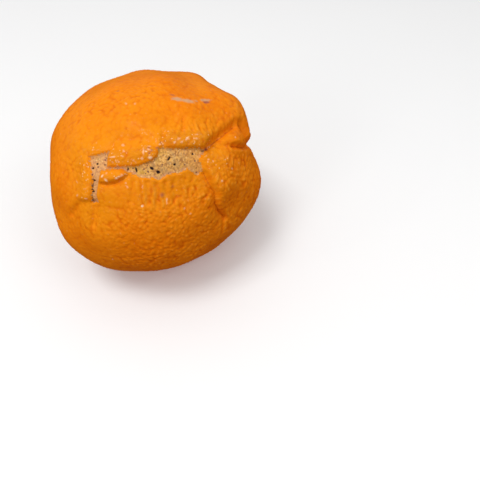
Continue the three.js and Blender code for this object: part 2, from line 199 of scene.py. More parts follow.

# Pale dry flecks and painted glints on the skin round the scar, laid out as the pits are
FLECKS_AND_GLINTS = [
    ((-14.2, -1.1), 0.36, 0.26, 60, 1.0),
    ((-13.2, -2.2), 0.36, 0.28, -50, 1.0),
    ((-10.3, -1.6), 0.36, 0.24, 30, 1.0),
    ((-9.6, -1.2), 0.30, 0.24, -20, 0.9),
    ((-13.2, -0.3), 0.34, 0.24, 0, 0.7),
    ((-8.9, -0.9), 0.34, 0.24, 0, 0.7),
    ((-8.2, -3.0), 0.30, 0.22, 0, 0.6),
    ((-7.7, -4.1), 0.42, 0.22, -50, 0.7),
    ((-11.2, 4.0), 0.85, 0.24, 5, 0.8),
    ((-8.9, 7.5), 0.50, 0.28, -40, 0.7),
    ((-8.4, 5.6), 0.34, 0.26, 0, 0.7),
    ((-8.7, 4.3), 0.40, 0.22, -60, 0.6),
    ((-9.8, 2.8), 0.50, 0.22, -60, 0.7),
    ((-11.4, 2.6), 0.30, 0.24, 0, 0.5),
    ((-3.0, 5.3), 0.90, 0.22, 88, 0.8),
    ((-1.5, 6.7), 0.42, 0.20, -10, 0.8),
    ((-1.6, 5.8), 0.42, 0.22, -40, 0.8),
    ((-1.3, 3.7), 0.50, 0.30, 0, 1.0),
    ((-3.4, 3.5), 0.30, 0.24, 0, 0.8),
    ((-5.5, 2.8), 0.46, 0.22, -50, 0.6),
    ((0.3, 8.6), 0.55, 0.20, 88, 0.5),
    ((1.3, 7.4), 0.30, 0.26, 0, 0.8),
    ((5.1, 7.8), 0.32, 0.24, 40, 0.9),
    ((6.3, 8.7), 0.34, 0.26, 0, 0.7),
    ((7.0, 7.9), 0.34, 0.26, 0, 0.8),
    ((8.4, 8.9), 0.42, 0.24, 35, 0.9),
    ((11.1, 10.0), 0.42, 0.26, 20, 0.6),
    ((10.8, 8.9), 0.34, 0.22, 10, 0.8),
    ((-20.4, -7.7), 0.40, 0.22, 0, 0.8),
    ((-23.5, -7.0), 0.42, 0.34, 20, 0.7),
    ((-23.9, -3.0), 0.42, 0.26, -50, 0.6),
    ((-20.4, -4.8), 0.40, 0.26, 0, 0.5),
    ((-17.6, 6.3), 0.40, 0.26, 10, 0.6),
    ((-16.9, 8.4), 0.30, 0.26, 0, 0.6),
    ((-3.6, -4.1), 1.90, 0.14, 88, 0.45),
    ((-4.0, -9.5), 0.36, 0.30, 30, 1.0),
    ((2.9, -7.9), 0.62, 0.20, 85, 0.8),
    ((8.1, -10.6), 0.30, 0.22, 80, 0.7),
    ((9.6, -12.2), 0.30, 0.24, 0, 0.6),
    ((22.5, 1.1), 0.36, 0.28, 0, 0.9),
    ((18.4, -2.4), 0.36, 0.28, 0, 0.8),
    ((14.6, 3.5), 0.36, 0.22, 20, 0.7),
    ((15.9, 3.1), 0.40, 0.22, -20, 0.6),
    ((23.9, 10.5), 0.34, 0.22, 60, 0.7),
    ((-8.2, 20.3), 0.34, 0.50, 0, 0.45),
    ((-5.5, 20.1), 0.30, 0.55, 0, 0.5),
    ((-16.1, -31.2), 0.34, 0.30, 0, 0.9),
]
FLECK_AND_GLINT_RISE = 0.05

# Old scratches, healed grey-tan, and dark mauve stains, both laid out as the pits are
STREAKS = [
    ((6.9, 21.9), 1.45, 0.60, -14, 0.80),
    ((10.0, 21.1), 1.55, 0.60, -10, 0.90),
    ((12.6, 21.3), 1.0, 0.40, 5, 0.45),
    ((15.7, 22.0), 1.50, 0.54, 8, 0.75),
]
STAINS = [
    ((15.8, 21.2), 0.75, 0.36, 5, 0.9),
    ((5.7, 23.6), 0.80, 0.34, -20, 0.5),
    ((-11.8, 26.9), 0.50, 0.36, 0, 0.4),
    ((1.6, -6.3), 0.50, 0.55, 0, 0.55),
    ((4.6, -4.0), 0.45, 0.35, 0, 0.35),
    ((15.0, 6.9), 0.55, 0.26, -10, 0.9),
    ((-1.7, 6.3), 0.34, 0.26, 0, 0.6),
    ((-1.0, 5.6), 0.30, 0.26, 0, 0.7),
    ((-2.6, 5.7), 0.26, 0.24, 0, 0.5),
    ((-1.5, 4.8), 0.30, 0.26, 30, 0.6),
    ((0.5, 6.4), 0.32, 0.24, 40, 0.6),
    ((1.7, 7.8), 0.34, 0.26, 0, 0.6),
    ((2.1, 7.2), 0.30, 0.24, 0, 0.5),
    ((2.6, 8.3), 0.28, 0.24, 0, 0.4),
]

# A spot is full out to the first of these shares of its half sizes, and gone at the second
SPOT_FULL = 0.4
SPOT_GONE = 2.0

# Patches of fine folds beside the scar: middle, half width, half height, rise. They start and are full
# at given distances from the scar's edge, as the pebbles below do.
WRINKLES = [
    ((13.5, 11.5), 8.5, 4.0, 0.042),
    ((16.0, 18.0), 12.0, 7.0, 0.03),
    ((-1.1, -6.5), 8.5, 5.0, 0.07),
    ((10.2, -5.6), 6.0, 5.0, 0.055),
]
WRINKLE_LENGTHS = (1.1, 2.8)
WRINKLE_LEAN = 0.42
WRINKLE_WAVES = 11
WRINKLE_SEED = 21
WRINKLES_FROM = (0.1, 1.0)

# Oil-gland pebbles over the whole skin, and coarser cobbles on its rough side. A pebble's groove is
# given in cells, and the rough side by the cosines of the turns at which it starts and is full.
PEBBLE_SIZE = 1.25
PEBBLE_RISE = 0.20
PEBBLE_SEED = 5
PEBBLES_FROM = (0, 1.0)
COBBLE_SIZE = 1.9
COBBLE_RISE = 0.10
COBBLE_STRETCH = (1, 1.25, 1)
COBBLE_SEED = 6
GROOVE_WIDTH = 0.30
GROOVE_DEPTH = 0.6
ROUGH_AT = [(10, -28), (27, -9)]
ROUGH_TURN = (0.68, 1.0)

# How strong the pebbles are everywhere, how far that wanders, what the rough side adds, and the least
EVEN_STRENGTH = 0.34
WANDERING_STRENGTH = 0.14
ROUGH_STRENGTH = 0.32
LEAST_STRENGTH = 0.2
STRENGTH_LENGTH = 16.0
STRENGTH_SEED = 12

# How far and over what length the pebbles' lattice is bent
BEND = 0.45
BEND_LENGTH = 5.5
BEND_SEED = 11

# The waves of a slow random pattern and what their sum is divided by, then how many places a lattice's
# cubes share out among themselves and the numbers that pick one for each cube
WANDER_WAVES = 9
WANDER_SCALE = 1.5
CELL_PLACES = 4096
CELL_PICK = (73856093, 19349663, 83492791)

# The mesh: cells along each edge of a cube laid on the round, gathered towards the facing point
CUBE_CELLS = 128
GATHER = 0.42
MERGE_DIGITS = 7

# The stem button's outline from its base's middle over the rim and up the stalk: radius and height
BUTTON_PROFILE = [
    (0.0, -0.25), (2.2, -0.25), (2.9, -0.1), (3.05, 0.25), (2.9, 0.62), (2.3, 0.85), (1.6, 0.82),
    (1.25, 0.95), (1.15, 1.5), (1.12, 2.0), (0.95, 2.18), (0.5, 2.05), (0.0, 2.0),
]

# How high the button sits over the pit's floor, how finely it is drawn, and its points: how many, half
# the share of the radius cut in between them, the radius where they begin, and how soon they are full
BUTTON_LIFT = 0.3
BUTTON_AROUND = 80
BUTTON_STEPS = 4
BUTTON_POINTS = 5
POINT_DEPTH = 0.11
POINTS_FROM = 1.3
POINTS_FADE = 1.2

# Plain colours, as linear red, green and blue
DEEP_ORANGE = (0.86, 0.215, 0.003)
BRIGHT_ORANGE = (0.92, 0.262, 0.005)
PORE_RED = (0.62, 0.13, 0.001)
# Peach of the lips' dots, partly dry flecks and partly painted glints
PEACH_FLECK_AND_GLINT = (0.94, 0.48, 0.19)
FLECK_PINK = (0.90, 0.40, 0.17)
# Cream of the strong flecks, which are partly painted glints
FLECK_AND_GLINT_CREAM = (0.92, 0.66, 0.40)
CORK_BROWN = (0.43, 0.19, 0.06)
CORK_TAN = (0.80, 0.42, 0.11)
CORK_CREAM = (0.90, 0.56, 0.22)
CORK_DARK = (0.20, 0.08, 0.06)
CORK_PINK = (0.60, 0.28, 0.17)
# The brown of the painted shade under the lips, by the cork's upper rims
CORK_PAINTED_SHADE = (0.42, 0.15, 0.035)
BUTTON_OLIVE = (0.30, 0.24, 0.05)
BUTTON_STRAW = (0.52, 0.45, 0.12)

# Tints, each laid over a colour by a mask: the mask's value with no tint and with the full tint, how
# strong the full tint is, and its colour
GOLDEN_TINT = (14.0, 1.0, 0.6, (0.85, 0.29, 0.005))
DULL_TINT = (0.1, 1.2, 0.5, (0.68, 0.22, 0.006))
# Painted shade down in the pebbles' gaps, the hollows and the folds' troughs, then painted highlights on
# the folds', pebbles' and relief's tops
GAP_SHADE_TINT = (0.1, -1.0, 0.28, (0.72, 0.125, 0.001))
HOLLOW_SHADE_TINT = (0.0, -0.25, 0.75, (0.66, 0.11, 0.001))
LOW_FOLD_SHADE_TINT = (0.0, -0.12, 0.4, (0.66, 0.13, 0.001))
HIGH_FOLD_HIGHLIGHT_TINT = (0.02, 0.12, 0.35, (0.92, 0.36, 0.03))
PEBBLE_HIGHLIGHT_TINT = (0.3, 0.9, 0.2, (0.96, 0.35, 0.015))
TOP_HIGHLIGHT_TINT = (0.05, 0.22, 0.5, (0.96, 0.38, 0.035))
# Painted shade in the creases' bottoms
CREASE_SHADE_TINT = (0.8, 1.9, 0.75, (0.52, 0.075, 0.001))
SCRATCH_TINT = (0.15, 0.75, 0.8, (0.62, 0.38, 0.21))
STAIN_TINT = (0.0, 0.75, 0.85, (0.36, 0.10, 0.07))
STEM_TINT = (5.6, 3.6, 0.85, (0.34, 0.19, 0.04))
BLOSSOM_TINT = (1.3, 0.7, 0.9, (0.16, 0.08, 0.03))
CORK_YELLOW_TINT = (0.50, 0.68, 0.55, (0.66, 0.37, 0.045))
CORK_STREAK_TINT = (0.50, 0.66, 0.45, (0.50, 0.31, 0.13))
CORK_LEFT_TINT = (-0.008, -0.013, 0.4, (0.78, 0.38, 0.19))
CORK_RIGHT_TINT = (0.006, 0.011, 0.35, (0.78, 0.33, 0.07))
# The dark of the pits and of the painted shade down the strip's left wall
PIT_AND_WALL_SHADE_TINT = (0.20, 0.62, 1.0, (0.022, 0.009, 0.010))
BUTTON_EDGE_TINT = (2.2, 2.9, 1.0, (0.16, 0.08, 0.03))
STALK_TINT = (1.2, 2.0, 1.0, (0.52, 0.46, 0.34))

# The orange's tints in their order, by the mesh's values: some before its pores and some after them.
# Those after them are painted shade down in the hollows and painted highlights on the tops.
PLACE_TINTS = [("scar", GOLDEN_TINT), ("lips", DULL_TINT)]
RELIEF_SHADE_AND_HIGHLIGHT_TINTS = [
    ("pebble", GAP_SHADE_TINT),
    ("relief", HOLLOW_SHADE_TINT),
    ("folds", LOW_FOLD_SHADE_TINT),
    ("folds", HIGH_FOLD_HIGHLIGHT_TINT),
    ("pebble", PEBBLE_HIGHLIGHT_TINT),
    ("relief", TOP_HIGHLIGHT_TINT),
    ("crease_shade", CREASE_SHADE_TINT),
]

# Dots: cells a metre, the share of the cells that have one, their size in cells, and their strength
PORES = (330.0, 0.4, 0.20, 0.4)
PALE_DOTS = (1250.0, 0.5, 0.42, 0.6)
DARK_DOTS = (1000.0, 0.30, 0.32, 1.0)
# Peach dots on the lips, partly dry flecks and partly painted glints: cells a metre and size in cells
LIP_DOT_SCALE = 1300.0
LIP_DOT_SIZE = 0.36

# Spans of masks: the values at which one starts and is full, then what it is there if not 0 and 1
PATCHES = (0.35, 0.65)
MOTTLE = (0.38, 0.60)
CORK_INSIDE = (0.0, -0.25)
LOWER_RIM_PATCHES = (0.35, 0.6, 0.1, 0.6)
ON_LIPS = (0.1, 0.6)
LIP_DOT_PATCHES = (0.42, 0.60, 0.05, 0.7)
FLECK_AND_GLINT_INSIDE = (0.22, 0.60, 0.0, 0.9)
STRONG_FLECK_AND_GLINT = (0.55, 0.85)
SHINE_PATCHES = (0.44, 0.56)
SHINE_SPECKS = (0.49, 0.62)
SHINE_NEAR_SCAR = (24.0, 2.0)
SHINE_ON_LIPS = (0.05, 0.5, 0.3, 0.75)

# How strong the painted shade by the cork's upper rims, under the lips, is
UPPER_RIM_SHADE_STRENGTH = 0.3

# The ragged noise's full swing in millimetres, and how much of it the edges of marks take
RAGGED_SWING = 1.7
SCRATCH_RAGGED = 0.45
FLECK_AND_GLINT_RAGGED = 0.9
STEM_RAGGED = 1.5
BLOSSOM_RAGGED = 0.6

# Noises of the finishes, in waves or cells a metre
PATCH_SCALE = 70.0
GLAND_SCALE = 1100.0
RAGGED_SCALE = 1300.0
LIP_DOT_PATCH_SCALE = 300.0
SHINE_PATCH_SCALE = 420.0
SHINE_SPECK_SCALE = 2100.0
CORK_GRAIN_SCALE = 1700.0
CORK_YELLOW_SCALE = 260.0
CORK_STREAK_SCALE = 1100.0
CORK_STREAK_STRETCH = (1.0, 0.3, 0.3)
CORK_RIM_SCALE = 500.0
BUTTON_GRAIN_SCALE = 900.0
FINE_GRAIN_TIMES = 1.7

# Fine relief of the finishes, in metres
GRAIN_HEIGHT = 0.00014
GLAND_DEPTH = 0.00004
LIP_GLAND_DEPTH = 0.00012

# How matt the surfaces are, and how little the rind shines outside its waxy specks
RIND_ROUGHNESS = 0.38
RIND_SPECULAR = 0.04
WAX_ROUGHNESS = 0.12
CORK_ROUGHNESS = 0.85
BUTTON_ROUGHNESS = 0.8
FLOOR_ROUGHNESS = 0.8

# The camera, from the photograph's view of the fruit
LENS = 34.5
EYE_DISTANCE = 162.0
NEAREST_SEEN = 10.0
CAMERA_TURN = np.radians(13.9)
CAMERA_TILT = np.radians(51.25)

# Studio light: name, way out of the fruit's middle, distance and size in millimetres, watts
LIGHTS = [
    ("key", (-0.28, -0.15, 0.94), 900, 320, 3.1),
    ("front", (-0.66, -0.56, 0.50), 500, 140, 0.28),
    ("side", (0.42, -0.55, 0.72), 500, 160, 0.22),
    ("glint_mid", (-0.10, -0.62, 0.78), 420, 8, 0.02),
    ("glint_left", (-0.80, -0.20, 0.55), 420, 8, 0.03),
    ("glint_low", (0.05, -0.98, 0.15), 420, 8, 0.03),
    ("glint_right", (0.55, -0.40, 0.72), 420, 8, 0.03),
]
DOME_ABOVE = (0.58, 0.58, 0.58)
DOME_BELOW = (0.20, 0.08, 0.03)
DOME_TURN = (-0.1, 0.1)
FLOOR_COLOUR = (0.97, 0.97, 0.97)
WALL_COLOUR = (0.92, 0.92, 0.92)
FLOOR_REACH = 3.0

facing = np.array([0, -np.cos(FACE_RISE), np.sin(FACE_RISE)])
level = np.array([1.0, 0, 0])
skin_right = level * np.cos(FACE_ROLL) + np.cross(facing, level) * np.sin(FACE_ROLL)
skin_up = np.cross(facing, skin_right)
skin_axes = np.stack([skin_right, skin_up, facing])


def direction_of(places):
    """Unit directions of places on the skin: turned from the facing point by distance over the round."""
    right, up = np.moveaxis(np.asarray(places, float), -1, 0)
    far = np.hypot(right, up)
    turn = far / SKIN_ROUND
    shrink = np.sinc(turn / np.pi) / SKIN_ROUND
    return np.stack([right * shrink, up * shrink, np.cos(turn)], -1)


def place_of(directions):
    """Places on the skin of unit directions: the reverse of direction_of."""
    flat = np.hypot(directions[:, 0], directions[:, 1])
    stretch = SKIN_ROUND * np.arctan2(flat, directions[:, 2]) / np.maximum(flat, TINY)
    return directions[:, :2] * stretch[:, None]


def apart(directions, point):
    """Straight distance in millimetres between directions and a point, both on the skin's round."""
    return SKIN_ROUND * np.linalg.norm(directions - point, axis=1)


def bump(distance, spread):
    """A bell: 1 at distance 0, falling as exp(-(distance / spread) squared)."""
    return np.exp(-((distance / spread) ** 2))


def ease(value, low, high):
    """0 below low, 1 above high, and a smooth S between them."""
    t = np.clip((value - low) / (high - low), 0, 1)
    return t * t * (3 - 2 * t)


def along_path(directions, path):
    """Distance from each direction to a path on the skin, and its side: 1 on the path's left, -1 on its
    right, and the sine of the angle off the path's line in between, past its ends."""
    points = direction_of(path)
    best = np.full(len(directions), np.inf)
    side = np.zeros(len(directions))
    for start, end in zip(points[:-1], points[1:]):
        run = end - start
        left = np.cross(start, run)
        offset = directions - start
        t = np.clip(offset @ run / (run @ run), 0, 1)
        distance = SKIN_ROUND * np.linalg.norm(offset - t[:, None] * run, axis=1)
        lean = SKIN_ROUND * directions @ left / np.linalg.norm(left) / np.maximum(distance, TINY)
        lean = np.clip(lean, -1, 1)
        level_with = (distance < best + TINY) & (np.abs(lean) > np.abs(side))
        nearer = (distance < best - TINY) | level_with
        best = np.where(nearer, distance, best)
        side = np.where(nearer, lean, side)
    return best, side


def body_radius(directions):
    """An ellipsoid whose length slopes up to the right: one over the length of the scaled direction."""
    along = directions[:, 0] * np.cos(LENGTH_SLOPE) + directions[:, 1] * np.sin(LENGTH_SLOPE)
    across = directions[:, 1] * np.cos(LENGTH_SLOPE) - directions[:, 0] * np.sin(LENGTH_SLOPE)
    scaled = np.stack([along / HALF_LENGTH, across / HALF_WIDTH, directions[:, 2] / HALF_DEPTH])
    return 1 / np.linalg.norm(scaled, axis=0)


def lobe_rise(directions):
    """The sum of a bell for each broad swelling or hollow."""
    return sum(rise * bump(apart(directions, direction_of(at)), spread) for at, rise, spread in LOBES)


def crease_rise(directions):
    """For each crease a bell-shaped groove, and a bank on its left that stands over the one on its right
    and eases back into the skin. The width passes from one bank's to the other's with the side. With the
    rise come the creases' narrow bottoms, the higher the steeper their walls, a mask for painted shade."""
    total = np.zeros(len(directions))
    crease_shade = np.zeros(len(directions))
    for path, depth, right_width, left_width, bank in CREASES:
        distance, side = along_path(directions, path)
        width = (right_width * (1 - side) + left_width * (1 + side)) / 2
        groove = bump(distance, width)
        total += bank * side * (1 - groove) * bump(distance, BANK_REACH * width) - depth * groove
        # The bottoms are a mask for painted shade in the creases
        crease_shade = np.maximum(crease_shade, depth / width * bump(distance, BOTTOM_SHARE * width))
    return total, crease_shade


def pleat_rise(directions):
    """Shallow bell-shaped grooves."""
    return sum(-depth * bump(along_path(directions, path)[0], PLEAT_WIDTH) for path, depth in PLEATS)


def lip_rise(directions):
    """Rounded swellings along the scar's raised edges: the highest of the bells about each path."""
    bells = [rise * bump(along_path(directions, path)[0], spread) for path, rise, spread in LIPS]
    return np.max(bells, axis=0)


def scar_distance(directions):
    """Millimetres from each direction to the scar's edge, negative inside it, far on the back."""
    places = place_of(directions)
    right, up = places[:, 0], places[:, 1]
    nearest = np.full(len(directions), np.inf)
    inside = np.zeros(len(directions), bool)
    corners = np.array(SCAR_OUTLINE)
    for (ax, ay), (bx, by) in zip(corners, np.roll(corners, -1, axis=0)):
        run_x, run_y = bx - ax, by - ay
        t = np.clip(((right - ax) * run_x + (up - ay) * run_y) / (run_x ** 2 + run_y ** 2), 0, 1)
        nearest = np.minimum(nearest, np.hypot(right - ax - t * run_x, up - ay - t * run_y))
        crosses = (ay > up) != (by > up)
        level_run = run_y if run_y != 0 else 1
        inside ^= crosses & (right < ax + (up - ay) / level_run * run_x)
    return np.where(inside, -nearest, nearest)


def scar_rims(directions, scar):
    """Two masks inside the scar, from how the distance to its edge changes over a short step down and a
    short step up: 1 by its lower rims, and 1 by its upper rims, where painted shade lies under the lips."""
    step = RIM_WIDTH * (skin_up @ skin_axes.T) / SKIN_ROUND
    below, above = (scar_distance(moved / np.linalg.norm(moved, axis=1, keepdims=True))
                    for moved in (directions - step, directions + step))
    inside = ease(scar, *RIM_INSIDE)
    return inside * ease(below, *RIM_FADE), inside * ease(above, *RIM_FADE)


def lump_rise(directions):
    """Crossing waves in evenly spread directions, summed and scaled to LUMP_RISE."""
    golden = np.pi * (3 - 5 ** 0.5)
    k = np.arange(LUMP_WAVES)
    z = 1 - (2 * k + 1) / LUMP_WAVES
    ring = np.sqrt(1 - z * z)
    ways = np.stack([ring * np.cos(k * golden), ring * np.sin(k * golden), z])
    waves = np.cos(directions @ ways * SKIN_ROUND * 2 * np.pi / LUMP_LENGTH + k * k * golden)
    return LUMP_RISE * waves.sum(axis=1) / np.sqrt(LUMP_WAVES / 2)


def cells(points, size, seed):
    """Distances, in units of size, from each point to the nearest and the second nearest of a set of
    scattered seeds: one seed at a random spot in each cube of a lattice of that size."""
    spread = np.random.default_rng(seed).random((CELL_PLACES, 3))
    scaled = points / size
    base = np.floor(scaled).astype(np.int64)
    nearest = np.full(len(points), np.inf)
    second = np.full(len(points), np.inf)
    for shift in np.ndindex(3, 3, 3):
        cube = base + np.array(shift) - 1
        pick = (cube @ np.array(CELL_PICK)) % CELL_PLACES
        distance = np.linalg.norm(cube + spread[pick] - scaled, axis=1)
        second = np.minimum(second, np.maximum(nearest, distance))
        nearest = np.minimum(nearest, distance)
    return nearest, second


def wander(points, length, seed):
    """Slow random offsets of about one unit, for bending a pattern: crossing waves of that length."""
    random = np.random.default_rng(seed)
    ways = random.normal(size=(3, WANDER_WAVES))
    ways /= np.linalg.norm(ways, axis=0)
    phase = random.random(WANDER_WAVES) * 2 * np.pi
    waves = np.cos(points @ ways * 2 * np.pi / length + phase)
    return np.stack([waves[:, k::3].sum(axis=1) for k in range(3)], -1) / WANDER_SCALE


def pebbles(points, size, seed):
    """Rounded pebbles of about one unit, even about 0: in each scattered cell a dome, one less twice
    the squared distance from its seed, and a narrow groove along the cell's border."""
    near, second = cells(points, size, seed)
    return 1 - 2 * near ** 2 - GROOVE_DEPTH * bump(second - near, GROOVE_WIDTH)


def pebble_rise(directions, scar):
    """Fine pebbles that come and go over the skin, with cobbles among them on its rough side, and none
    inside the scar. The fine pattern is given too, for the colour."""
    points = directions * SKIN_ROUND
    bent = points + BEND * wander(points, BEND_LENGTH, BEND_SEED)
    rough = ease(np.max(directions @ direction_of(ROUGH_AT).T, axis=1), *ROUGH_TURN)
    wandering = WANDERING_STRENGTH * wander(points, STRENGTH_LENGTH, STRENGTH_SEED)[:, 0]
    strength = np.maximum(EVEN_STRENGTH + wandering + ROUGH_STRENGTH * rough, LEAST_STRENGTH)
    fine = pebbles(bent, PEBBLE_SIZE, PEBBLE_SEED)
    coarse = pebbles(bent * COBBLE_STRETCH, COBBLE_SIZE, COBBLE_SEED)
    rise = PEBBLE_RISE * strength * fine + COBBLE_RISE * rough * coarse
    return rise * ease(scar, *PEBBLES_FROM), fine


def wrinkle_rise(directions, scar):
    """Fine folds that run up and down in patches beside the scar: waves across each patch, every one a
    little aslant, fading towards the patch's border."""
    places = place_of(directions)
    random = np.random.default_rng(WRINKLE_SEED)
    turns = 2 * np.pi / random.uniform(*WRINKLE_LENGTHS, WRINKLE_WAVES)
    lean = random.uniform(-WRINKLE_LEAN, WRINKLE_LEAN, WRINKLE_WAVES)
    phase = random.random(WRINKLE_WAVES) * 2 * np.pi
    waves = np.cos((places[:, :1] + places[:, 1:] * lean) * turns + phase).sum(axis=1)
    patch = np.zeros(len(directions))
    for (right, up), half_wide, half_high, rise in WRINKLES:
        offset = np.hypot((places[:, 0] - right) / half_wide, (places[:, 1] - up) / half_high)
        patch = np.maximum(patch, rise * bump(offset, 1.0))
    return patch * waves / np.sqrt(WRINKLE_WAVES / 2) * ease(scar, *WRINKLES_FROM)


def spots(directions, table):
    """A mask of a table's spots: each one's strength times an even fall from its full middle to nothing,
    by the distance in half sizes, and the strongest spot wins."""
    places = place_of(directions)
    mask = np.zeros(len(directions))
    for (right, up), half_long, half_wide, slope, strength in table:
        turn = np.radians(slope)
        dx, dy = places[:, 0] - right, places[:, 1] - up
        along = (dx * np.cos(turn) + dy * np.sin(turn)) / half_long
        across = (dy * np.cos(turn) - dx * np.sin(turn)) / half_wide
        fall = (SPOT_GONE - np.hypot(along, across)) / (SPOT_GONE - SPOT_FULL)
        mask = np.maximum(mask, strength * np.clip(fall, 0, 1))
    return mask


def fruit_radius(directions, scar, creases, pits_and_wall_shade, flecks_and_glints, relief):
    """Body, lobes, creases, pleats, lumps and fine relief, with lips outside the sunk scar; then the
    hollows of the two ends. The stem pit's flat floor is its distance over the cosine of the turn from
    the stem, kept from falling too low, and its wall eases from there up to the skin."""
    outside = ease(scar, -SCAR_WALL, SCAR_WALL)
    skin = body_radius(directions) + lobe_rise(directions) + creases
    skin += pleat_rise(directions) + lump_rise(directions) + relief
    skin += lip_rise(directions) * outside - SCAR_DEPTH * (1 - outside)
    skin += FLECK_AND_GLINT_RISE * flecks_and_glints - PIT_DEPTH * pits_and_wall_shade
    stem = direction_of(STEM_AT)
    from_stem = apart(directions, stem)
    skin -= PIT_DISH * bump(from_stem, PIT_SHOULDER)
    skin -= BLOSSOM_DEPTH * bump(apart(directions, direction_of(BLOSSOM_AT)), BLOSSOM_RADIUS)
    floor = PIT_FLOOR / np.maximum(directions @ stem, PIT_LEAST_COSINE)
    off_floor = ease(from_stem, PIT_RADIUS, PIT_RADIUS + PIT_WALL)
    return floor + (skin - floor) * off_floor


def round_of_directions():
    """Unit directions and quads: a square grid of angles on each face of a cube, laid on the round, with
    shared edges joined, then every direction pulled towards the facing point and made unit again."""
    lines = np.tan(np.linspace(-np.pi / 4, np.pi / 4, CUBE_CELLS + 1))
    a, b = np.meshgrid(lines, lines, indexing="ij")
    one = np.ones_like(a)
    sides = [(a, b, one), (b, a, -one), (one, a, b), (-one, b, a), (b, one, a), (a, -one, b)]
    points = np.concatenate([np.stack(side, -1).reshape(-1, 3) for side in sides])
    points /= np.linalg.norm(points, axis=1, keepdims=True)
    index = np.arange(len(lines) ** 2).reshape(len(lines), -1)
    quad = np.stack([index[:-1, :-1], index[1:, :-1], index[1:, 1:], index[:-1, 1:]], -1).reshape(-1, 4)
    quads = np.concatenate([quad + k * index.size for k in range(6)])
    rounded = np.round(points, MERGE_DIGITS)
    _, first, merged = np.unique(rounded, axis=0, return_index=True, return_inverse=True)
    points = points[first] + np.array([0, 0, GATHER])
    points /= np.linalg.norm(points, axis=1, keepdims=True)
    return points, merged.reshape(-1)[quads]


def new_piece(name, points, faces, material, values):
    """A mesh object at the origin from points in millimetres, with a float attribute for each value."""
    mesh = bpy.data.meshes.new(name)
    mesh.from_pydata((points * MM).tolist(), [], faces)
    mesh.polygons.foreach_set("use_smooth", np.ones(len(mesh.polygons), bool))
    for key, value in values.items():
        mesh.attributes.new(key, "FLOAT", "POINT").data.foreach_set("value", value.astype(np.float32))
    mesh.materials.append(material)
    mesh.update()
    piece = bpy.data.objects.new(name, mesh)
    bpy.context.scene.collection.objects.link(piece)
    return piece


def make_fruit(material):
    """The whole fruit: every direction at its radius, cut level where it rests on the ground."""
    directions, quads = round_of_directions()
    scar = scar_distance(directions)
    pits_and_wall_shade = spots(directions, PITS_AND_WALL_SHADE)
    flecks_and_glints = spots(directions, FLECKS_AND_GLINTS)
    relief, pebble = pebble_rise(directions, scar)
    folds = wrinkle_rise(directions, scar)
    relief += folds
    creases, crease_shade = crease_rise(directions)
    reach = fruit_radius(directions, scar, creases, pits_and_wall_shade, flecks_and_glints, relief)
    world = directions @ skin_axes
    to_ground = np.where(world[:, 2] < 0, -MIDDLE_HEIGHT / np.minimum(world[:, 2], -TINY), np.inf)
    points = world * np.minimum(reach, to_ground)[:, None] + np.array([0, 0, MIDDLE_HEIGHT])
    # The upper rims' mask carries painted shade under the lips
    lower_rim, upper_rim_shade = scar_rims(directions, scar)
    values = {
        "scar": scar,
        "lower_rim": lower_rim,
        "upper_rim_shade": upper_rim_shade,
        "pits_and_wall_shade": pits_and_wall_shade,
        "flecks_and_glints": flecks_and_glints,
        "streaks": spots(directions, STREAKS),
        "stains": spots(directions, STAINS),
        "relief": relief,
        "pebble": pebble,
        "folds": folds,
        "crease_shade": crease_shade,
        "lips": lip_rise(directions),
        "from_stem": apart(directions, direction_of(STEM_AT)),
        "from_blossom": apart(directions, direction_of(BLOSSOM_AT)),
    }
    return new_piece("tangerine_rind", points, quads.tolist(), material, values)


